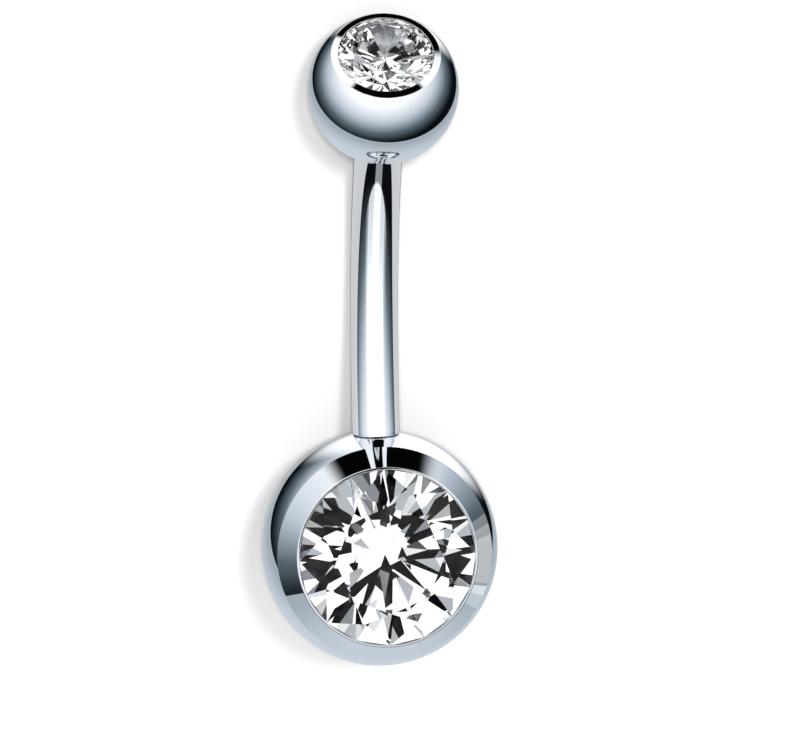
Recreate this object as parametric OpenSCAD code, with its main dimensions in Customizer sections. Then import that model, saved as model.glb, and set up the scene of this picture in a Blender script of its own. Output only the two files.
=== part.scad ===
// Double-gem navel ring: a curved 14 gauge bar with a stone-set ball at each end.
// The lower ball is fixed and its stone faces the inside of the bend. The top ball
// screws on, and its stone sits on its crown, in line with the end of the bar.
// Millimetres. It lies on both balls with the bar's bow down, bend plane in XZ,
// floor at Z = 0, lower ball towards -X, and the box's middle over the origin.

/* [Bar] */
// Diameter of the bar, 14 gauge
bar_d = 1.6; // [1.5:0.1:2.4]
// Length of the bar along its curve, from shoulder to shoulder
bar_len = 11.9; // [7:0.1:16]
// Radius of the bend, to the bar's centre line
bend_r = 16; // [9:0.5:60]

/* [Ends of the bar] */
// Diameter of the post that the top ball screws on to, the mean of its thread
post_d = 1.4; // [0.8:0.05:1.5]
// Diameter of the spigot that is pressed into the lower ball
spigot_d = 1; // [0.6:0.05:1.2]
// Metal left between each of their holes and the stone's seat
hole_wall = 0.3; // [0.2:0.05:0.5]
// Chamfer on the tips and at the top ball's mouth
tip_chamfer = 0.1; // [0.02:0.02:0.2]

/* [Balls] */
// Diameter of the lower ball
lower_ball_d = 8; // [7:0.1:10]
// Diameter of the top ball
top_ball_d = 5; // [4:0.1:6]

/* [Settings] */
// Height of the lower ball's mouth, where its wide land starts, above its centre
lower_mouth_h = 1.64; // [1:0.02:1.8]
// Width of the level rim round the lower stone, burnished over its edge
lower_rim_w = 0.1; // [0.06:0.01:0.2]
// How far that rim, where the land ends, lies below the ball's round
lower_lip_depth = 0.04; // [0.02:0.01:0.4]
// How far the lower stone leans from square to the bar, towards the bar, in degrees
lower_lean = 3; // [0:0.5:6]
// Width of the narrow land from the top ball's mouth to its stone
top_land_w = 0.26; // [0.12:0.02:0.5]
// How far that land rises from the mouth to the stone
top_land_rise = 0.06; // [0:0.01:0.12]
// How far the land's edge is burnished over each stone
lip_over = 0.05; // [0.02:0.01:0.12]
// Slope of the bearing cone under each stone
bearing_angle = 45; // [42:1:50]

/* [Stones] */
// Diameter of the lower stone
lower_stone_d = 6; // [4:0.1:6.9]
// Diameter of the top stone
top_stone_d = 3.2; // [2.4:0.1:3.7]
// Width of the table from corner to corner, as a share of the stone's diameter
table_share = 0.61; // [0.5:0.01:0.7]
// Slope of the eight main crown facets
crown_angle = 34.5; // [25:0.5:40]
// Slope of the eight main pavilion facets
pavilion_angle = 41; // [38:0.5:41.5]
// Thickness of the girdle, as a share of the stone's diameter
girdle_share = 0.027; // [0.01:0.001:0.05]
// Length of the star facets, as a share of the way from the table to the girdle
star_share = 0.5; // [0.35:0.01:0.65]
// Length of the lower halves, as a share of the way from the girdle to the culet
lower_half_share = 0.8; // [0.6:0.01:0.9]

/* [Clearances] */
// Gap between a stone and its setting
stone_gap = 0.02; // [0.01:0.01:0.05]
// Gap round the post and the spigot in their holes
hole_gap = 0.03; // [0.01:0.01:0.06]
// Gap between the bar's shoulders and the flats that they seat on
shoulder_gap = 0.02; // [0.01:0.01:0.1]
// Gap past the tips of the post and the spigot
tip_gap = 0.05; // [0.02:0.01:0.2]

/* [Hidden] */
$fn = 96;
steel = "#c9ced3";
crystal = "#eef2f5";

bar_r = bar_d / 2;
lower_ball_r = lower_ball_d / 2;
top_ball_r = top_ball_d / 2;

// Stones: a round brilliant has 8 main facets and 16 girdle facets a side
mains = 8;
half_step = 180 / mains;
// Distance of a star facet's outer tip from the axis, as a share of the girdle's radius
star_tip = table_share * cos(half_step) * (1 - star_share) + star_share;
// Slope of the steepest way up the crown, from the girdle to a star facet's tip
halves_slope = (1 - star_tip * cos(half_step)) * tan(crown_angle) / (1 - star_tip);

// Radius of the circle on a ball at this height, or height of the circle of this radius
function on_ball(ball_r, leg) = sqrt(ball_r * ball_r - leg * leg);

// Settings: the land meets the ball at the mouth, and the stone at the lip
function lip_r(stone_d) = stone_d / 2 - lip_over;
// Height of the girdle's middle plane, below the lip by what the crown and the gap take
function girdle_height(lip_h, stone_d) =
    lip_h - stone_gap - lip_over * halves_slope - stone_d * girdle_share / 2;
// Height of the edge of the bearing cone, and of its point
function bearing_height(girdle_h, stone_d) = girdle_h - stone_d * girdle_share / 2 - stone_gap;
function seat_r(stone_d) = stone_d / 2 + stone_gap;
function seat_point(girdle_h, stone_d) =
    bearing_height(girdle_h, stone_d) - seat_r(stone_d) * tan(bearing_angle);

lower_mouth_r = on_ball(lower_ball_r, lower_mouth_h);
lower_rim_r = lip_r(lower_stone_d) + lower_rim_w;
lower_lip_h = on_ball(lower_ball_r, lower_rim_r) - lower_lip_depth;
lower_girdle_h = girdle_height(lower_lip_h, lower_stone_d);
top_mouth_r = lip_r(top_stone_d) + top_land_w;
top_mouth_h = on_ball(top_ball_r, top_mouth_r);
top_lip_h = top_mouth_h + top_land_rise;
top_girdle_h = girdle_height(top_lip_h, top_stone_d);

// Flats on the balls, just as wide as the bar's shoulders, measured from each ball's centre
lower_flat = on_ball(lower_ball_r, bar_r);
top_flat = on_ball(top_ball_r, bar_r);

// The spigot's hole stops short of the leaning bearing cone's side, and the post's of its point
spigot_hole_r = spigot_d / 2 + hole_gap;
cone_run = spigot_hole_r * cos(lower_lean) - seat_point(lower_girdle_h, lower_stone_d);
spigot_hole_end = (hole_wall + spigot_hole_r * sin(lower_lean) + cone_run / tan(bearing_angle))
    / (cos(lower_lean) - sin(lower_lean) / tan(bearing_angle));
spigot_len = lower_flat + shoulder_gap - spigot_hole_end - tip_gap;
post_hole_end = hole_wall - seat_point(top_girdle_h, top_stone_d);
post_len = top_flat + shoulder_gap - post_hole_end - tip_gap;

// Bend: how far it turns, where it starts, and the top ball's centre, from the lower ball's
turn = bar_len / bend_r * 180 / PI;
bar_start = lower_flat + shoulder_gap;
top_arm = shoulder_gap + top_flat;
top_centre_x = bar_start + bend_r * sin(turn) + top_arm * cos(turn);
top_centre_z = bend_r * (1 - cos(turn)) + top_arm * sin(turn);

// Rest: the bar's lower end dips until both balls touch the floor
span = norm([top_centre_x, top_centre_z]);
dip = atan2(top_centre_z, top_centre_x) + asin((lower_ball_r - top_ball_r) / span);
top_lean = turn - dip;
run = sqrt(span * span - pow(lower_ball_r - top_ball_r, 2));
table_h = top_girdle_h + top_stone_d / 2 * (girdle_share + (1 - table_share) * tan(crown_angle));
table_r = top_stone_d / 2 * table_share;
top_reach = table_h * cos(top_lean) + table_r * sin(top_lean);
middle_x = (run + top_reach - lower_ball_r) / 2;

// Frame of the lower ball: bar leaves along +X, stone faces +Z
module at_lower_ball() {
    translate([-middle_x, 0, lower_ball_r]) rotate([0, dip, 0]) children();
}

// Frame of the lower ball's setting: stone faces +Z, leaning towards the bar
module at_lower_setting() {
    at_lower_ball() rotate([0, lower_lean, 0]) children();
}

// Frame of the top ball: stone faces +Z, bar comes from -Z
module at_top_ball() {
    at_lower_ball() translate([top_centre_x, 0, top_centre_z]) rotate([0, 90 - turn, 0]) children();
}

// Turned-down end of the bar: a rod with a chamfered tip that stands out of the shoulder, along +Z,
// and starts as deep in the bar as the bar is thick
module turned_end(r, length) {
    rotate_extrude() polygon([
        [0, -bar_r], [r, -bar_r], [r, length - tip_chamfer], [r - tip_chamfer, length], [0, length]
    ]);
}

// Bent rod, with the spigot at its lower end and the post at its top end
module bar() {
    color(steel) at_lower_ball() translate([bar_start, 0, bend_r]) {
        rotate([-90, 90 - turn, 0])
            rotate_extrude(angle = turn) translate([bend_r, 0]) circle(r = bar_r);
        translate([0, 0, -bend_r]) rotate([0, -90, 0]) turned_end(spigot_d / 2, spigot_len);
        rotate([0, -turn, 0]) translate([0, 0, -bend_r])
            rotate([0, 90, 0]) turned_end(post_d / 2, post_len);
    }
}

// What the setter's tools take out of a ball: mouth, land, rim, lip, girdle groove and bearing
// cone. The land rises from the mouth to the rim, which lies level from there to the lip.
module setting_cut(ball_r, stone_d, mouth_r, mouth_h, rim_r, lip_h, girdle_h) {
    over = ball_r;
    land_slope = (mouth_h - lip_h) / (mouth_r - rim_r);
    groove_top = lip_h - (lip_over + stone_gap) * halves_slope;
    rim = rim_r > lip_r(stone_d) ? [[rim_r, lip_h]] : [];
    rotate_extrude() polygon(concat(
        [
            [0, seat_point(girdle_h, stone_d)],
            [seat_r(stone_d), bearing_height(girdle_h, stone_d)],
            [seat_r(stone_d), groove_top],
            [lip_r(stone_d), lip_h]
        ],
        rim,
        [
            [mouth_r + over, mouth_h + over * land_slope],
            [mouth_r + over, mouth_h + over * 3],
            [0, mouth_h + over * 3]
        ]
    ));
}

// Flat for a shoulder and blind hole for a rod, both along +Z, flat at height flat_h
module shoulder_cut(ball_r, flat_h, hole_r, hole_end, mouth_chamfer) {
    translate([0, 0, flat_h]) cylinder(r = ball_r, h = ball_r);
    translate([0, 0, hole_end]) cylinder(r = hole_r, h = ball_r - hole_end);
    translate([0, 0, flat_h - mouth_chamfer])
        cylinder(r1 = hole_r, r2 = hole_r + mouth_chamfer * 2, h = mouth_chamfer * 2);
}

// Lower ball, fixed to the bar, with a wide cone turned round its stone
module lower_ball() {
    color(steel) difference() {
        at_lower_setting() difference() {
            sphere(r = lower_ball_r);
            setting_cut(lower_ball_r, lower_stone_d, lower_mouth_r, lower_mouth_h,
                lower_rim_r, lower_lip_h, lower_girdle_h);
        }
        at_lower_ball() rotate([0, 90, 0])
            shoulder_cut(lower_ball_r, lower_flat, spigot_hole_r, spigot_hole_end, tip_chamfer);
    }
}

// Top ball, which comes off along the bar's end, with its mouth facing away from the bar
module top_ball() {
    color(steel) at_top_ball() difference() {
        sphere(r = top_ball_r);
        setting_cut(top_ball_r, top_stone_d, top_mouth_r, top_mouth_h,
            lip_r(top_stone_d), top_lip_h, top_girdle_h);
        rotate([180, 0, 0])
            shoulder_cut(top_ball_r, top_flat, post_d / 2 + hole_gap, post_hole_end, tip_chamfer);
    }
}

// Corners at radius r and height z, the first at angle start
function corners(count, r, start, z) =
    [for (i = [0 : count - 1]) [r * cos(start + i * 360 / count), r * sin(start + i * 360 / count), z]];

// Round brilliant about +Z, girdle's middle plane at Z = 0, a table corner on +X
module brilliant(d) {
    girdle_r = d / 2;
    half_girdle = d * girdle_share / 2;
    tip_r = girdle_r * star_tip;
    half_r = girdle_r * (1 - lower_half_share);
    crown_z = function(x) half_girdle + (girdle_r - x) * tan(crown_angle);
    pavilion_z = function(x) -half_girdle - (girdle_r - x) * tan(pavilion_angle);

    points = concat(
        corners(mains, girdle_r * table_share, 0, crown_z(girdle_r * table_share)),
        corners(mains, tip_r, half_step, crown_z(tip_r * cos(half_step))),
        corners(2 * mains, girdle_r, 0, half_girdle),
        corners(2 * mains, girdle_r, 0, -half_girdle),
        corners(mains, half_r, half_step, pavilion_z(half_r * cos(half_step))),
        [[0, 0, pavilion_z(0)]]
    );
    table = function(k) k % mains;
    tip = function(k) mains + k % mains;
    upper = function(k) 2 * mains + k % (2 * mains);
    lower = function(k) 4 * mains + k % (2 * mains);
    half = function(k) 6 * mains + k % mains;
    culet = 7 * mains;

    each_main = [0 : mains - 1];
    last = mains - 1;
    polyhedron(points, concat(
        [[for (k = each_main) last - k]],
        [for (k = each_main) [table(k), table(k + 1), tip(k)]],
        [for (k = each_main) [table(k), tip(k), upper(2 * k), tip(k + last)]],
        [for (k = each_main) [tip(k), upper(2 * k + 1), upper(2 * k)]],
        [for (k = each_main) [tip(k), upper(2 * k + 2), upper(2 * k + 1)]],
        [for (k = [0 : 2 * mains - 1]) [upper(k), upper(k + 1), lower(k + 1), lower(k)]],
        [for (k = each_main) [half(k), lower(2 * k), lower(2 * k + 1)]],
        [for (k = each_main) [half(k), lower(2 * k + 1), lower(2 * k + 2)]],
        [for (k = each_main) [culet, half(k + last), lower(2 * k), half(k)]]
    ));
}

// Stone of the lower ball
module lower_stone() {
    color(crystal) at_lower_setting() translate([0, 0, lower_girdle_h]) brilliant(lower_stone_d);
}

// Stone of the top ball
module top_stone() {
    color(crystal) at_top_ball() translate([0, 0, top_girdle_h]) brilliant(top_stone_d);
}

bar();
lower_ball();
lower_stone();
top_ball();
top_stone();
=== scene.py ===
"""A navel ring: a curved steel bar with a stone-set ball at each end, dressed over its CAD model."""

import math

import bmesh
import bpy
from mathutils import Matrix, Vector


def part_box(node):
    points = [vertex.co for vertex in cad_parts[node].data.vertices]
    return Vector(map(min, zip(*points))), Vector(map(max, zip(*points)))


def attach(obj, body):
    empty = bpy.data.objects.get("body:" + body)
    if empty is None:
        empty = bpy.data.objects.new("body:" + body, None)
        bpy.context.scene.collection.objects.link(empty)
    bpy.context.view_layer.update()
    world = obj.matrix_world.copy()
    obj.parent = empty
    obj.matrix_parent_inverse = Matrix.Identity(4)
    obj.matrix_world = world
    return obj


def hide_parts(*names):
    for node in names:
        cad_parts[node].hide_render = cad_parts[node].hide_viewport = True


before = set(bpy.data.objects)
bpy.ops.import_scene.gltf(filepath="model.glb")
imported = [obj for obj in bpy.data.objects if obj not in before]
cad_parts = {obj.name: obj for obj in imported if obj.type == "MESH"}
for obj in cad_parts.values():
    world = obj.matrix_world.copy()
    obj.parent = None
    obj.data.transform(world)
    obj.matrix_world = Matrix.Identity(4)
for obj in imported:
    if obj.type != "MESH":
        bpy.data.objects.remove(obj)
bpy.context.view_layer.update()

# Camera. A long lens looks down on the ring from the stones' side, with the lower ball at the
# foot of the picture. Its place and axes are in the row frame.
MM = 0.001
VIEW_FROM = Vector((175.215, 31.647, 263.857)) * MM
VIEW_RIGHT = Vector((0.01719, -0.99361, 0.11154))
VIEW_UP = Vector((0.82967, -0.04808, -0.55618))
VIEW_BACK = Vector((0.55799, 0.10210, 0.82355))

camera = bpy.data.cameras.new("camera")
camera.sensor_fit = "HORIZONTAL"
camera.sensor_width = 36.0
camera.lens = 423.26
camera.clip_start = 0.02
camera.clip_end = 2.0
camera_object = bpy.data.objects.new("camera", camera)
view_axes = Matrix((VIEW_RIGHT, VIEW_UP, VIEW_BACK)).transposed().to_4x4()
camera_object.matrix_world = Matrix.Translation(VIEW_FROM) @ view_axes
scene = bpy.context.scene
scene.collection.objects.link(camera_object)
scene.camera = camera_object
scene.view_settings.view_transform = "Standard"
scene.cycles.max_bounces = 32
scene.cycles.transmission_bounces = 32
scene.cycles.glossy_bounces = 16
scene.cycles.caustics_reflective = False
scene.cycles.caustics_refractive = False


# Light tent. The polished steel and the stones mirror a jeweller's tent: dark cloth at the foot
# that fades up into white, with black card overhead and behind. The pale card under it comes
# last in this file. Matt surfaces see a plain white room and two softboxes.
def linear(hex_colour):
    parts = [int(hex_colour[i : i + 2], 16) / 255 for i in (1, 3, 5)]
    return tuple(p / 12.92 if p <= 0.04045 else ((p + 0.055) / 1.055) ** 2.4 for p in parts) + (1.0,)


def add_node(tree, kind, inputs=None, **settings):
    node = tree.nodes.new(kind)
    for name, value in settings.items():
        setattr(node, name, value)
    for name, value in (inputs or {}).items():
        if isinstance(value, bpy.types.NodeSocket):
            tree.links.new(value, node.inputs[name])
        else:
            node.inputs[name].default_value = value
    return node


# The tent's own axes, and the way that the mouth of the top ball faces
TENT_UP = Vector((0.9547, -0.0709, 0.2971)).normalized()
TENT_FRONT = (VIEW_BACK - VIEW_BACK.dot(TENT_UP) * TENT_UP).normalized()
TENT_RIGHT = TENT_UP.cross(TENT_FRONT)
MOUTH_WAY = Vector((0.94975, 0.0, 0.31301))
TENT_LIGHT = 1.25
ROOM_LIGHT = 0.5
BLACK_CARD = linear("#040404")

world = bpy.data.worlds.new("light_tent")
scene.world = world
world.use_nodes = True
tent = world.node_tree
tent.nodes.clear()
look = add_node(tent, "ShaderNodeTexCoord").outputs["Generated"]

# Heights in the tent: how far a direction points up, forward and right. The cloth hangs a little
# out of level, so it has a height of its own. "behind" is away from the lens, "back" is towards
# it, "sideways" to either side of it, and "aside" to either side of the tent. "stones" is how
# squarely the flat mouth of the top ball would mirror a direction into the lens.
heights = {}
for name, up, front, right in (
    ("level", 1.0, 0.0, 0.0),
    ("across", 0.0, 0.0, 1.0),
    ("cloth", 1.0, 0.156, -0.113),
    ("behind", -0.087, -0.996, 0.0),
):
    towards = up * TENT_UP + front * TENT_FRONT + right * TENT_RIGHT
    heights[name] = add_node(
        tent, "ShaderNodeVectorMath", {0: look, 1: towards}, operation="DOT_PRODUCT"
    ).outputs["Value"]
between = add_node(tent, "ShaderNodeVectorMath", {0: look, 1: VIEW_BACK}, operation="ADD")
facing = add_node(
    tent, "ShaderNodeVectorMath", {0: between.outputs["Vector"]}, operation="NORMALIZE"
).outputs["Vector"]
for name, way, towards in (
    ("back", look, VIEW_BACK),
    ("sideways", look, VIEW_RIGHT),
    ("stones", facing, MOUTH_WAY),
):
    heights[name] = add_node(
        tent, "ShaderNodeVectorMath", {0: way, 1: towards}, operation="DOT_PRODUCT"
    ).outputs["Value"]
for name, signed in (("sideways", "sideways"), ("aside", "across")):
    heights[name] = add_node(
        tent, "ShaderNodeMath", {0: heights[signed]}, operation="ABSOLUTE"
    ).outputs["Value"]

# The cloth's colours, from its foot to its top. A new ramp has two stops, and the rest are added.
CLOTH_COLOURS = (
    (-0.56, "#0b0d0f"),
    (-0.454, "#2a3238"),
    (-0.267, "#59646c"),
    (-0.105, "#8f9aa2"),
    (0.078, "#bfc7d0"),
    (0.29, "#e2e5ea"),
    (0.45, "#f8f9fa"),
    (0.60, "#ffffff"),
)
cloth_foot = CLOTH_COLOURS[0][0]
cloth_top = CLOTH_COLOURS[-1][0]
share = add_node(
    tent,
    "ShaderNodeMapRange",
    {"Value": heights["cloth"], "From Min": cloth_foot, "From Max": cloth_top},
)
ramp = add_node(tent, "ShaderNodeValToRGB", {"Fac": share.outputs["Result"]})
for k, (at, colour) in enumerate(CLOTH_COLOURS):
    stop = ramp.color_ramp.elements[k] if k < 2 else ramp.color_ramp.elements.new(1.0)
    stop.position = (at - cloth_foot) / (cloth_top - cloth_foot)
    stop.color = linear(colour)
tent_colour = ramp.outputs["Color"]

# What hangs in front of the cloth, from the back forward. Each edge fades from clear to full
# between two heights. The cards in front of the lens hang where the top ball's mouth mirrors
# them: black in the middle, then pale, grey and dark out to the sides.
LENS_SIDE = (("stones", 0.70, 0.72), ("back", 0.62, 0.66))
for colour, edges in (
    (linear("#ffffff"), (("behind", 0.80, 0.93),)),
    (BLACK_CARD, (("aside", 0.24, 0.21), ("behind", 0.5, 0.6), ("level", 0.27, 0.31))),
    (
        BLACK_CARD,
        (("sideways", 0.62, 0.42), ("back", -0.42, -0.36), ("back", 0.02, -0.02), ("level", 0.2, 0.4)),
    ),
    (BLACK_CARD, (*LENS_SIDE, ("aside", 0.24, 0.21))),
    (linear("#26292c"), (*LENS_SIDE, ("aside", 0.58, 0.62))),
    (linear("#7d8287"), (*LENS_SIDE, ("aside", 0.33, 0.36), ("aside", 0.46, 0.43))),
    (linear("#a4a9ae"), (*LENS_SIDE, ("aside", 0.21, 0.24), ("level", 0.72, 0.70))),
    (BLACK_CARD, (("level", 0.90, 0.92),)),
):
    cover = None
    for height, clear, full in edges:
        edge = add_node(
            tent,
            "ShaderNodeMapRange",
            {"Value": heights[height], "From Min": clear, "From Max": full},
            interpolation_type="SMOOTHSTEP",
        ).outputs["Result"]
        if cover is None:
            cover = edge
        else:
            cover = add_node(
                tent, "ShaderNodeMath", {0: cover, 1: edge}, operation="MULTIPLY"
            ).outputs["Value"]
    tent_colour = add_node(
        tent, "ShaderNodeMix", {"Factor": cover, "A": tent_colour, "B": colour}, data_type="RGBA"
    ).outputs["Result"]

# The lens sees past the floor's edge into plain white, and matt paper is lit by a dimmer one
ray = add_node(tent, "ShaderNodeLightPath").outputs
matt = add_node(
    tent, "ShaderNodeMath", {0: ray["Is Camera Ray"], 1: ray["Is Diffuse Ray"]}, operation="MAXIMUM"
)
strength = add_node(
    tent, "ShaderNodeMath", {0: ray["Is Camera Ray"], 1: ROOM_LIGHT}, operation="MAXIMUM"
)
tent_light = add_node(tent, "ShaderNodeBackground", {"Color": tent_colour, "Strength": TENT_LIGHT})
room_light = add_node(
    tent, "ShaderNodeBackground", {"Color": linear("#ffffff"), "Strength": strength.outputs["Value"]}
)
either = add_node(
    tent,
    "ShaderNodeMixShader",
    {
        0: matt.outputs["Value"],
        1: tent_light.outputs["Background"],
        2: room_light.outputs["Background"],
    },
)
add_node(tent, "ShaderNodeOutputWorld", {"Surface": either.outputs["Shader"]})

# Two softboxes. One beside the camera throws its shadow out of sight behind the ring, and a
# weaker one over the right shoulder throws the faint shadow to the left.
for name, way, energy, angle in (
    ("front_softbox", VIEW_BACK, 1.75, 6),
    ("right_softbox", Vector((0.597, -0.071, 0.799)), 1.45, 8),
):
    softbox = bpy.data.lights.new(name, "SUN")
    softbox.energy = energy
    softbox.angle = math.radians(angle)
    softbox_object = bpy.data.objects.new(name, softbox)
    softbox_object.rotation_mode = "QUATERNION"
    softbox_object.rotation_quaternion = way.to_track_quat("Z", "Y")
    softbox_object.visible_glossy = False
    softbox_object.visible_transmission = False
    scene.collection.objects.link(softbox_object)

# Floor. A sheet of pale, matt paper that the ring lies on. The steel and the stones don't mirror
# it, because its white would show in them where the photograph shows dark, and the lamps that
# hang under it shine through.
FLOOR_R = 0.8
floor_mesh = bpy.data.meshes.new("floor")
bm = bmesh.new()
bmesh.ops.create_circle(bm, cap_ends=True, segments=96, radius=FLOOR_R)
bm.to_mesh(floor_mesh)
bm.free()
floor = bpy.data.objects.new("floor", floor_mesh)
floor.visible_glossy = False
floor.visible_transmission = False
floor.visible_shadow = False
scene.collection.objects.link(floor)

paper = bpy.data.materials.new("matt_white_paper")
paper.use_nodes = True
paper_tree = paper.node_tree
paper_surface = paper_tree.nodes["Principled BSDF"]
paper_surface.inputs["Base Color"].default_value = linear("#f4f4f4")
paper_surface.inputs["Roughness"].default_value = 0.9
paper_surface.inputs["Specular IOR Level"].default_value = 0.0
floor_mesh.materials.append(paper)

# Bar. A 14 gauge rod of surgical steel, bent to an even curve and mirror polished. Its lower
# end is turned down to a spigot, pressed into the lower ball for good, and its top end to a
# post with an M1.6 thread, which the top ball screws on to.
BAR_R = 0.8 * MM
BAR_LEN = 11.9 * MM
BEND_R = 16.0 * MM
LOWER_R = 4.0 * MM
TOP_R = 2.5 * MM
SPIGOT_R = 0.5 * MM
SHOULDER_GAP = 0.02 * MM
TIP_GAP = 0.05 * MM
HOLE_GAP = 0.03 * MM
HOLE_WALL = 0.3 * MM
TIP_CHAMFER = 0.1 * MM
SHOULDER_EDGE = 0.04 * MM
THREAD_PITCH = 0.35 * MM
THREAD_CREST_R = 0.715 * MM
THREAD_ROOT_R = 0.60 * MM
THREAD_RELIEF = 0.18 * MM
THREAD_SLOPE = 3.6
THREAD_TOP = 1.6
SHARP_ANGLE = math.radians(28)
POINT_R = 1e-9

# From the lower ball's middle, the top one is reach along the bar's lower end and rise above it.
# Lying on both balls, that end points down by the angle dip. The ring is centred on the origin.
bend = BAR_LEN / BEND_R
lower_flat = math.sqrt(LOWER_R**2 - BAR_R**2)
top_flat = math.sqrt(TOP_R**2 - BAR_R**2)
rise = BEND_R * (1 - math.cos(bend)) + (top_flat + SHOULDER_GAP) * math.sin(bend)
reach = lower_flat + SHOULDER_GAP + BEND_R * math.sin(bend) + (top_flat + SHOULDER_GAP) * math.cos(bend)
dip = math.atan2(rise, reach) + math.asin((LOWER_R - TOP_R) / math.hypot(rise, reach))
ring_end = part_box("top_stone")[1].x

ACROSS = Vector((0, 1, 0))
lower_centre = Vector((LOWER_R - ring_end, 0, LOWER_R))
bar_out = Vector((math.cos(dip), 0, -math.sin(dip)))
bar_up = Vector((math.sin(dip), 0, math.cos(dip)))
top_out = math.cos(bend) * bar_out + math.sin(bend) * bar_up
top_centre = lower_centre + reach * bar_out + rise * bar_up

spigot_hole_r = SPIGOT_R + HOLE_GAP


def on_bar(along):
    """Place and direction of the bar's middle line, this far along from its lower shoulder."""
    bent = min(max(along / BEND_R, 0.0), bend)
    direction = math.cos(bent) * bar_out + math.sin(bent) * bar_up
    place = lower_centre + (lower_flat + SHOULDER_GAP) * bar_out
    place += BEND_R * (math.sin(bent) * bar_out + (1 - math.cos(bent)) * bar_up)
    return place + (along - bent * BEND_R) * direction, direction


def thread(along, angle):
    """Share of the thread's full height, on a helix that climbs one pitch a turn. Its crest is
    flat for a third of the pitch, and its root for a ninth."""
    wave = (along / THREAD_PITCH - angle / (2 * math.pi)) % 1.0
    return min(max(THREAD_TOP - abs(wave - 0.5) * THREAD_SLOPE, 0.0), 1.0)


def ring(centre, axis, radius, count):
    """A circle of points about an axis in the plane of the bend. The radius may depend on the angle."""
    if not callable(radius) and radius < POINT_R:
        return [centre]
    side = ACROSS.cross(axis)
    points = []
    for k in range(count):
        angle = 2 * math.pi * k / count
        here = radius(angle) if callable(radius) else radius
        points.append(centre + here * (math.cos(angle) * side + math.sin(angle) * ACROSS))
    return points


def skin(name, rings, materials):
    """One closed mesh over a row of rings. Each ring comes with the material of the strip after it."""
    bm = bmesh.new()
    rows = [[bm.verts.new(p) for p in points] for points, finish in rings]
    for (_, finish), row, after in zip(rings, rows, rows[1:]):
        for k in range(max(len(row), len(after))):
            corners = [row[k % len(row)], row[(k + 1) % len(row)]]
            corners += [after[(k + 1) % len(after)], after[k % len(after)]]
            face = bm.faces.new(list(dict.fromkeys(corners)))
            face.material_index = finish
            face.smooth = True
    bmesh.ops.recalc_face_normals(bm, faces=bm.faces)
    mesh = bpy.data.meshes.new(name)
    bm.to_mesh(mesh)
    bm.free()
    for material in materials:
        mesh.materials.append(material)
    mesh.set_sharp_from_angle(angle=SHARP_ANGLE)
    piece = bpy.data.objects.new(name, mesh)
    scene.collection.objects.link(piece)
    return piece


# Mirror polished 316 steel: hard black and white reflections with a faint blue cast. Buffing
# leaves hairlines 0.03 mm apart and slightly duller patches a few tenths across.
polished = bpy.data.materials.new("mirror_polished_steel")
polished.use_nodes = True
polished_tree = polished.node_tree
steel_surface = polished_tree.nodes["Principled BSDF"]
place = add_node(polished_tree, "ShaderNodeTexCoord").outputs["Object"]
patches = add_node(
    polished_tree,
    "ShaderNodeTexNoise",
    {"Vector": place, "Scale": 1 / (0.4 * MM), "Detail": 3.0},
)
dullness = add_node(
    polished_tree,
    "ShaderNodeMapRange",
    {
        "Value": patches.outputs["Fac"],
        "From Min": 0.35,
        "From Max": 0.75,
        "To Min": 0.012,
        "To Max": 0.045,
    },
)
stretch = add_node(polished_tree, "ShaderNodeMapping", {"Vector": place, "Scale": (1.0, 0.08, 1.0)})
hairs = add_node(
    polished_tree,
    "ShaderNodeTexNoise",
    {"Vector": stretch.outputs["Vector"], "Scale": 1 / (0.03 * MM), "Detail": 2.0},
)
buffing = add_node(
    polished_tree,
    "ShaderNodeBump",
    {"Height": hairs.outputs["Fac"], "Strength": 1.0, "Distance": 0.00004 * MM},
)
tone = add_node(
    polished_tree,
    "ShaderNodeMix",
    {"Factor": patches.outputs["Fac"], "A": linear("#e4e8ec"), "B": linear("#eaedf0")},
    data_type="RGBA",
)
polished_tree.links.new(tone.outputs["Result"], steel_surface.inputs["Base Color"])
polished_tree.links.new(dullness.outputs["Result"], steel_surface.inputs["Roughness"])
polished_tree.links.new(buffing.outputs["Normal"], steel_surface.inputs["Normal"])
steel_surface.inputs["Metallic"].default_value = 1.0

# The same steel as the lathe tool leaves it, on the spigot, the post and the insides: a grey
# satin, with tool marks about 0.02 mm apart.
turned = bpy.data.materials.new("lathe_turned_steel")
turned.use_nodes = True
turned_tree = turned.node_tree
turned_surface = turned_tree.nodes["Principled BSDF"]
place = add_node(turned_tree, "ShaderNodeTexCoord").outputs["Object"]
marks = add_node(
    turned_tree,
    "ShaderNodeTexNoise",
    {"Vector": place, "Scale": 1 / (0.02 * MM), "Detail": 2.0},
)
tool_lines = add_node(
    turned_tree,
    "ShaderNodeBump",
    {"Height": marks.outputs["Fac"], "Strength": 0.6, "Distance": 0.002 * MM},
)
satin = add_node(
    turned_tree,
    "ShaderNodeMapRange",
    {"Value": marks.outputs["Fac"], "To Min": 0.18, "To Max": 0.34},
)
grey = add_node(
    turned_tree,
    "ShaderNodeMix",
    {"Factor": marks.outputs["Fac"], "A": linear("#c3c6ca"), "B": linear("#d6d9dc")},
    data_type="RGBA",
)
turned_tree.links.new(grey.outputs["Result"], turned_surface.inputs["Base Color"])
turned_tree.links.new(satin.outputs["Result"], turned_surface.inputs["Roughness"])
turned_tree.links.new(tool_lines.outputs["Normal"], turned_surface.inputs["Normal"])
turned_surface.inputs["Metallic"].default_value = 1.0
POLISHED = 0
TURNED = 1

# Stones sit in cones turned to 45 degrees, under a lip that is burnished over their edge
STONE_GAP = 0.02 * MM
LIP_OVER = 0.05 * MM
LIP_EDGE = 0.03 * MM
MOUTH_EDGE = 0.06 * MM
GIRDLE_SHARE = 0.999

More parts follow.
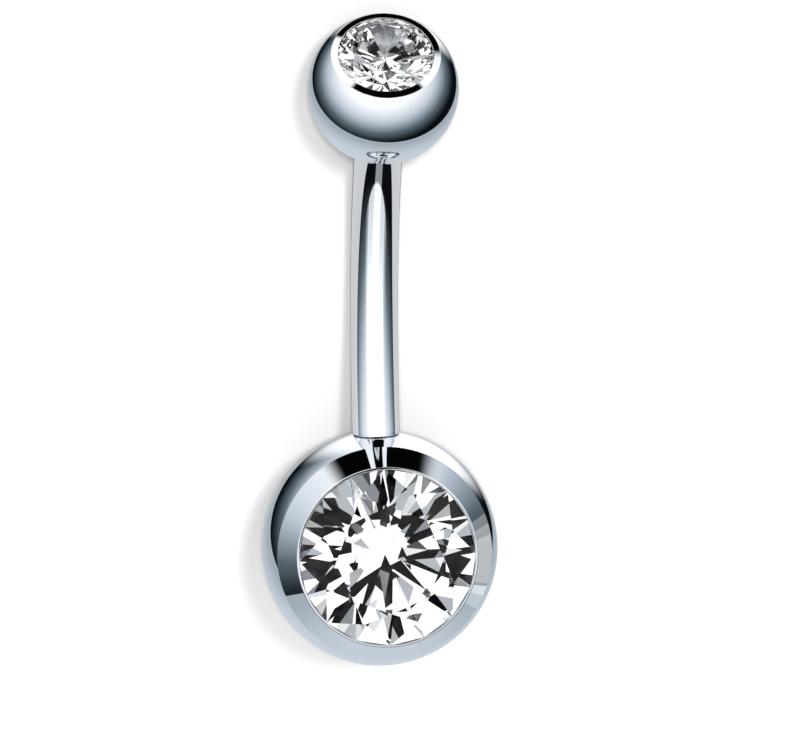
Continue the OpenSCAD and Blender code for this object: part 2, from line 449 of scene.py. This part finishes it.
# An eased edge takes at most this share of a side, in steps of about this many degrees, and the
# point past it lies this many times as far from the corner
EASED_SHARE = 0.45
EASED_STEP = 8
EASED_PAST = 1.4
LEAST_TURN = 1e-4


def girdle(node, centre, axis):
    """Radius of a stone, and the heights of its girdle's lower and upper edge over a centre."""
    spots = [v.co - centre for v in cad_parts[node].data.vertices]
    sizes = [((spot - spot.dot(axis) * axis).length, spot.dot(axis)) for spot in spots]
    radius = max(sizes)[0]
    edge = [height for size, height in sizes if size > radius * GIRDLE_SHARE]
    return radius, min(edge), max(edge)


def seat(stone_r, girdle_low, girdle_high, lip_h):
    """Profile of a setting from its lip down to the point of its bearing cone."""
    slope = (lip_h - STONE_GAP - girdle_high) / LIP_OVER
    bearing = girdle_low - STONE_GAP
    seat_r = stone_r + STONE_GAP
    return [
        (stone_r - LIP_OVER, lip_h, LIP_EDGE, TURNED),
        (seat_r, lip_h - (LIP_OVER + STONE_GAP) * slope, 0, TURNED),
        (seat_r, bearing, 0, TURNED),
        (0, bearing - seat_r, 0, TURNED),
    ]


def ball_arc(ball_r, start, end, steps, finish):
    """Profile of a ball between two heights."""
    first = math.acos(start / ball_r)
    last = math.acos(end / ball_r)
    angles = [first + (last - first) * k / steps for k in range(steps + 1)]
    return [(ball_r * math.sin(a), ball_r * math.cos(a), 0, finish) for a in angles]


def eased(profile):
    """The profile with its radii rounded off, and a point past each, so that what follows is flat."""
    out = []
    for k, (r, h, edge, finish) in enumerate(profile):
        if not edge:
            out.append((r, h, finish))
            continue
        corner = Vector((r, h))
        before = Vector(profile[k - 1][:2]) - corner
        after = Vector(profile[k + 1][:2]) - corner
        half = before.angle(after) / 2
        run = min(edge / math.tan(half), before.length * EASED_SHARE, after.length * EASED_SHARE)
        arc_r = run * math.tan(half)
        inward = (before.normalized() + after.normalized()).normalized()
        middle = corner + inward * math.hypot(run, arc_r)
        start = corner + before.normalized() * run - middle
        end = corner + after.normalized() * run - middle
        steps = max(3, round(math.degrees(math.pi - 2 * half) / EASED_STEP))
        out.append((*(corner + before.normalized() * run * EASED_PAST), profile[k - 1][3]))
        for j in range(steps + 1):
            spoke = start.slerp(end, j / steps) if start.angle(end) > LEAST_TURN else start
            spot = middle + spoke.normalized() * arc_r
            out.append((spot.x, spot.y, profile[k - 1][3] if j < steps else finish))
        out.append((*(corner + after.normalized() * run * EASED_PAST), finish))
    return out


# The lower setting leans a little towards the bar. The spigot stops short of the side of its
# bearing cone, and the post short of the point of the top one.
LOWER_LEAN = math.radians(3)
stone_out = math.cos(LOWER_LEAN) * bar_up + math.sin(LOWER_LEAN) * bar_out
lower_girdle = girdle("lower_stone", lower_centre, stone_out)
top_girdle = girdle("top_stone", top_centre, top_out)
lower_point = lower_girdle[1] - STONE_GAP - lower_girdle[0] - STONE_GAP
top_point = top_girdle[1] - STONE_GAP - top_girdle[0] - STONE_GAP
spigot_stop = HOLE_WALL + spigot_hole_r * math.sin(LOWER_LEAN)
spigot_stop += spigot_hole_r * math.cos(LOWER_LEAN) - lower_point
spigot_stop /= math.cos(LOWER_LEAN) - math.sin(LOWER_LEAN)
post_stop = HOLE_WALL - top_point
spigot_len = lower_flat + SHOULDER_GAP - spigot_stop - TIP_GAP
post_len = top_flat + SHOULDER_GAP - post_stop - TIP_GAP

BAR_SIDES = 128
ROD_STEPS = 120
EDGE_STEPS = 5
THREAD_STEPS = 10
spots = [
    (-spigot_len, 0, TURNED),
    (-spigot_len, SPIGOT_R - TIP_CHAMFER, TURNED),
    (-spigot_len + TIP_CHAMFER, SPIGOT_R, TURNED),
    (0, SPIGOT_R, TURNED),
]
for k in range(EDGE_STEPS + 1):
    lean = math.pi / 2 * k / EDGE_STEPS
    inset = SHOULDER_EDGE * (1 - math.cos(lean))
    spots.append((inset, BAR_R - SHOULDER_EDGE * (1 - math.sin(lean)), POLISHED))
for k in range(1, ROD_STEPS):
    spots.append((SHOULDER_EDGE + (BAR_LEN - 2 * SHOULDER_EDGE) * k / ROD_STEPS, BAR_R, POLISHED))
for k in range(EDGE_STEPS + 1):
    lean = math.pi / 2 * (1 - k / EDGE_STEPS)
    inset = SHOULDER_EDGE * (1 - math.cos(lean))
    spots.append((BAR_LEN - inset, BAR_R - SHOULDER_EDGE * (1 - math.sin(lean)), POLISHED))
spots[-1] = (*spots[-1][:2], TURNED)
spots.append((BAR_LEN, THREAD_ROOT_R, TURNED))
spots.append((BAR_LEN + THREAD_RELIEF, THREAD_ROOT_R, TURNED))
post_tip = BAR_LEN + post_len
turns_to = round((post_len - THREAD_RELIEF) / THREAD_PITCH * THREAD_STEPS)
for k in range(1, turns_to + 1):
    along = BAR_LEN + THREAD_RELIEF + (post_len - THREAD_RELIEF) * k / turns_to
    tip_r = min(THREAD_CREST_R, THREAD_CREST_R - TIP_CHAMFER + post_tip - along)

    def crest(angle, along=along, tip_r=tip_r):
        return min(tip_r, THREAD_ROOT_R + (THREAD_CREST_R - THREAD_ROOT_R) * thread(along, angle))

    spots.append((along, crest, TURNED))
spots.append((post_tip, 0, TURNED))
rings = [(ring(*on_bar(along), r, BAR_SIDES), finish) for along, r, finish in spots]
bar = skin("barbell_bar", rings, (polished, turned))
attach(bar, "barbell")
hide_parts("bar")

# Strip lights that reach only the bar. Those that hang over it give the white line down its
# middle, softer to the sides, and the low ones behind it give its pale edges, each past a thin
# dark line. Each hangs a little further off than the one before, so that their light adds up.
LOW_AWAY = 120 * MM
LOW_LONG = 300 * MM
LOW_GLOW = 0.72
lit_by_strips = bpy.data.collections.new("lit_by_strips")
lit_by_strips.objects.link(bar)


def hang_lamp(name, lit, place, way, across, away, wide, long, radiance, colour="#ffffff"):
    """A flat lamp this far from a place, facing it, that reaches only the pieces in one collection."""
    lamp = bpy.data.lights.new(name, "AREA")
    lamp.shape = "RECTANGLE"
    lamp.size = wide
    lamp.size_y = long
    lamp.color = linear(colour)[:3]
    lamp.energy = radiance * math.pi * wide * long
    side = (across - across.dot(way) * way).normalized()
    axes = Matrix((side, way.cross(side), way)).transposed().to_4x4()
    lamp_object = bpy.data.objects.new(name, lamp)
    lamp_object.matrix_world = Matrix.Translation(place + away * way) @ axes
    lamp_object.visible_camera = False
    lamp_object.light_linking.receiver_collection = lit
    scene.collection.objects.link(lamp_object)
    return lamp


def mirrored(faces):
    """Way that a mirror facing this way reflects to the lens."""
    return 2 * faces.dot(VIEW_BACK) * faces - VIEW_BACK


bar_middle, bar_way = on_bar(BAR_LEN / 2)
over_bar = (0.06 * VIEW_RIGHT - 0.82 * VIEW_UP + 0.57 * VIEW_BACK).normalized()
for name, away, wide, long, radiance in (
    ("long_strip", 119 * MM, 60 * MM, 280 * MM, 0.35),
    ("narrow_strip", 120 * MM, 165 * MM, 170 * MM, 0.5),
    ("middle_strip", 121 * MM, 205 * MM, 174 * MM, 0.2),
    ("wide_strip", 122 * MM, 245 * MM, 178 * MM, 0.12),
):
    hang_lamp(name, lit_by_strips, bar_middle, over_bar, VIEW_RIGHT, away, wide, long, radiance)
to_lens = (VIEW_BACK - VIEW_BACK.dot(bar_way) * bar_way).normalized()
to_side = bar_way.cross(to_lens)
for name, turn, wide in (
    ("left_strip", -62, 150 * MM),
    ("right_strip", 65.5, 124 * MM),
):
    turn = math.radians(turn)
    way = mirrored(math.cos(turn) * to_lens + math.sin(turn) * to_side)
    across = bar_way.cross(way)
    hang_lamp(name, lit_by_strips, bar_middle, way, across, LOW_AWAY, wide, LOW_LONG, LOW_GLOW)

# Lower ball. Turned from bar stock, polished, and fixed to the bar for good on its spigot. A
# wide cone is turned round its stone and rises to it, up to a thin rim burnished over the edge.
BALL_SIDES = 192
LOWER_ARC_STEPS = 90
LOWER_MOUTH_H = 1.64 * MM
LOWER_RIM_W = 0.1 * MM
LOWER_LIP_DEPTH = 0.04 * MM
RIM_EDGE = 0.08 * MM
rim_r = lower_girdle[0] - LIP_OVER + LOWER_RIM_W
lower_lip_h = math.sqrt(LOWER_R**2 - rim_r**2) - LOWER_LIP_DEPTH
mouth_r = math.sqrt(LOWER_R**2 - LOWER_MOUTH_H**2)
profile = ball_arc(LOWER_R, -LOWER_R, LOWER_MOUTH_H, LOWER_ARC_STEPS, POLISHED)
profile[-1] = (mouth_r, LOWER_MOUTH_H, MOUTH_EDGE, POLISHED)
profile.append((rim_r, lower_lip_h, RIM_EDGE, POLISHED))
profile += seat(*lower_girdle, lower_lip_h)
rings = [
    (ring(lower_centre + h * stone_out, stone_out, r, BALL_SIDES), finish)
    for r, h, finish in eased(profile)
]
lower_ball = skin("lower_ball_setting", rings, (polished, turned))

# Its flat and blind hole for the bar, cut by the shape that a drill and a facing tool sweep
DRILL_END = LOWER_R * 1.2
hole_profile = [
    (0, spigot_stop),
    (spigot_hole_r, spigot_stop),
    (spigot_hole_r, lower_flat - TIP_CHAMFER),
    (spigot_hole_r + TIP_CHAMFER, lower_flat),
    (LOWER_R, lower_flat),
    (LOWER_R, DRILL_END),
    (0, DRILL_END),
]
drill = skin(
    "drill",
    [(ring(lower_centre + h * bar_out, bar_out, r, BAR_SIDES), TURNED) for r, h in hole_profile],
    (polished, turned),
)
bore = lower_ball.modifiers.new("bore", "BOOLEAN")
bore.operation = "DIFFERENCE"
bore.solver = "EXACT"
bore.object = drill
depsgraph = bpy.context.evaluated_depsgraph_get()
cut_mesh = bpy.data.meshes.new_from_object(lower_ball.evaluated_get(depsgraph))
lower_ball.modifiers.clear()
lower_ball.data = cut_mesh
bpy.data.objects.remove(drill)

# The cut leaves long thin faces round the bar, so the round of the ball keeps its true normals
ON_ROUND = 1e-7
normals = [corner.vector.copy() for corner in cut_mesh.corner_normals]
for polygon in cut_mesh.polygons:
    spokes = [cut_mesh.vertices[v].co - lower_centre for v in polygon.vertices]
    if all(abs(spoke.length - LOWER_R) < ON_ROUND for spoke in spokes):
        for loop, spoke in zip(polygon.loop_indices, spokes):
            normals[loop] = spoke.normalized()
cut_mesh.normals_split_custom_set(normals)
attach(lower_ball, "barbell")
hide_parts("lower_ball")

# A low light to its right that reaches only this ball. The cone round its stone mirrors it
# above the pale card's mirror along its foot. Three widths of lamp give it a soft edge.
SIDE_DROP = 0.07
SIDE_LONG = 40 * MM
SIDE_GLOW = 0.2
lit_from_right = bpy.data.collections.new("lit_from_right")
lit_from_right.objects.link(lower_ball)
cone_tilt = math.atan2(lower_lip_h - LOWER_MOUTH_H, mouth_r - rim_r)
outward = (VIEW_RIGHT - VIEW_RIGHT.dot(stone_out) * stone_out).normalized()
outward = (outward - SIDE_DROP * stone_out.cross(outward)).normalized()
way = mirrored(math.cos(cone_tilt) * stone_out + math.sin(cone_tilt) * outward)
across = stone_out.cross(outward)
for name, away, wide in (
    ("side_lamp", 120 * MM, 44 * MM),
    ("side_veil", 121 * MM, 66 * MM),
    ("side_wash", 122 * MM, 90 * MM),
):
    hang_lamp(name, lit_from_right, lower_centre, way, across, away, wide, SIDE_LONG, SIDE_GLOW)

# Lower stone. A round brilliant of clear cubic zirconia, cut and polished on a lap, and held
# under the ball's burnished rim. The lap leaves the faintest lines, about 0.05 mm apart. The
# tint dims what the outer faces mirror, so that the pattern inside shows.
crystal = bpy.data.materials.new("polished_cubic_zirconia")
crystal.use_nodes = True
crystal_tree = crystal.node_tree
crystal_surface = crystal_tree.nodes["Principled BSDF"]
place = add_node(crystal_tree, "ShaderNodeTexCoord").outputs["Object"]
lap_lines = add_node(crystal_tree, "ShaderNodeTexNoise", {"Vector": place, "Scale": 1 / (0.05 * MM)})
lapped = add_node(
    crystal_tree,
    "ShaderNodeBump",
    {"Height": lap_lines.outputs["Fac"], "Strength": 1.0, "Distance": 0.00001 * MM},
)
crystal_tree.links.new(lapped.outputs["Normal"], crystal_surface.inputs["Normal"])
crystal_surface.inputs["Base Color"].default_value = linear("#ffffff")
crystal_surface.inputs["Roughness"].default_value = 0.0
crystal_surface.inputs["IOR"].default_value = 2.16
crystal_surface.inputs["Transmission Weight"].default_value = 1.0
crystal_surface.inputs["Specular Tint"].default_value = linear("#5a5a5a")
lower_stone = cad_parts["lower_stone"]
lower_stone.data.materials.clear()
lower_stone.data.materials.append(crystal)

# Top ball. It screws on to the post, and comes off to put the ring in. Its mouth is a narrow,
# almost flat rim round the stone. Its hole is tapped, and just wide enough for the post's thread
# to slide out of it, because the ball slides here where the real one turns.
TOP_ARC_STEPS = 70
TOP_LAND_W = 0.26 * MM
TOP_LAND_RISE = 0.06 * MM
POST_HOLE_R = 0.73 * MM
TAPPED_R = 0.80 * MM
TAP_OUT_STEPS = 2
mouth_r = top_girdle[0] - LIP_OVER + TOP_LAND_W
mouth_h = math.sqrt(TOP_R**2 - mouth_r**2)

# Its hole opens through a 45 degree countersink. The point of that cone lies sink_point from the
# ball's middle, and it meets the round at the radius sink_r.
sink_point = top_flat - TIP_CHAMFER - POST_HOLE_R
sink_r = (math.sqrt(2 * TOP_R**2 - sink_point**2) - sink_point) / 2
spots = [(-post_stop, 0), (-post_stop, POST_HOLE_R)]
tapped_from = post_stop + THREAD_PITCH / 2
tapped_to = top_flat - TIP_CHAMFER
turns_to = round((tapped_to - tapped_from) / THREAD_PITCH * THREAD_STEPS)
for k in range(turns_to + 1):
    depth = tapped_from + (tapped_to - tapped_from) * k / turns_to
    fade = min(1.0, k / THREAD_STEPS, (turns_to - k) / TAP_OUT_STEPS)

    def groove(angle, depth=depth, fade=fade):
        return POST_HOLE_R + (TAPPED_R - POST_HOLE_R) * fade * (1 - thread(-depth, angle))

    spots.append((-depth, groove))
rings = [(ring(top_centre + h * top_out, top_out, r, BALL_SIDES), TURNED) for h, r in spots]
profile = ball_arc(TOP_R, -sink_r - sink_point, mouth_h, TOP_ARC_STEPS, POLISHED)
profile[-1] = (mouth_r, mouth_h, MOUTH_EDGE / 2, POLISHED)
profile += seat(*top_girdle, mouth_h + TOP_LAND_RISE)
rings += [
    (ring(top_centre + h * top_out, top_out, r, BALL_SIDES), finish) for r, h, finish in eased(profile)
]
top_ball = skin("top_ball_setting", rings, (polished, turned))
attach(top_ball, "screw_end")
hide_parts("top_ball")

# Top stone. The same cut of the same clear zirconia, 3.2 mm across. The lip of the top ball
# holds its edge, so it comes off with that ball.
top_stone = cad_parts["top_stone"]
top_stone.data.materials.clear()
top_stone.data.materials.append(crystal)

# Pale card. It lies under the tent, and the balls and the stones mirror it along their feet.
# The bar doesn't, so that its upper end stays dark. It is a wide round lamp, and nine smaller
# ones under it make it paler to the middle.
CARD_AWAY = 1.5
CARD_STEP = 0.01
CARD_HEIGHT = 0.615
CARD_LEAN_FRONT = 0.045
CARD_LEAN_LEFT = 0.02
PALER_CARDS = 9
PALER_SHARE = 0.04
PALER_HEIGHT = 0.71
PALER_STEP = 0.03
lit_by_card = bpy.data.collections.new("lit_by_card")
for piece in (lower_ball, lower_stone, top_ball, top_stone):
    lit_by_card.objects.link(piece)
below = -(TENT_UP + CARD_LEAN_FRONT * TENT_FRONT - CARD_LEAN_LEFT * TENT_RIGHT).normalized()

# A height is the cosine of the angle between a lamp's middle and its rim, seen from the ring
cards = [("#a0a8af", 1.0, CARD_HEIGHT)]
for k in range(PALER_CARDS):
    cards.append(("#c6cad1", PALER_SHARE, PALER_HEIGHT + PALER_STEP * k))
for k, (colour, share, height) in enumerate(cards):
    away = CARD_AWAY + k * CARD_STEP
    wide = 2 * away * math.tan(math.acos(height))
    name = f"pale_card_{k}"
    glow = TENT_LIGHT * share
    card = hang_lamp(name, lit_by_card, Vector(), below, VIEW_RIGHT, away, wide, wide, glow, colour)
    card.shape = "DISK"
    card.energy *= math.pi / 4
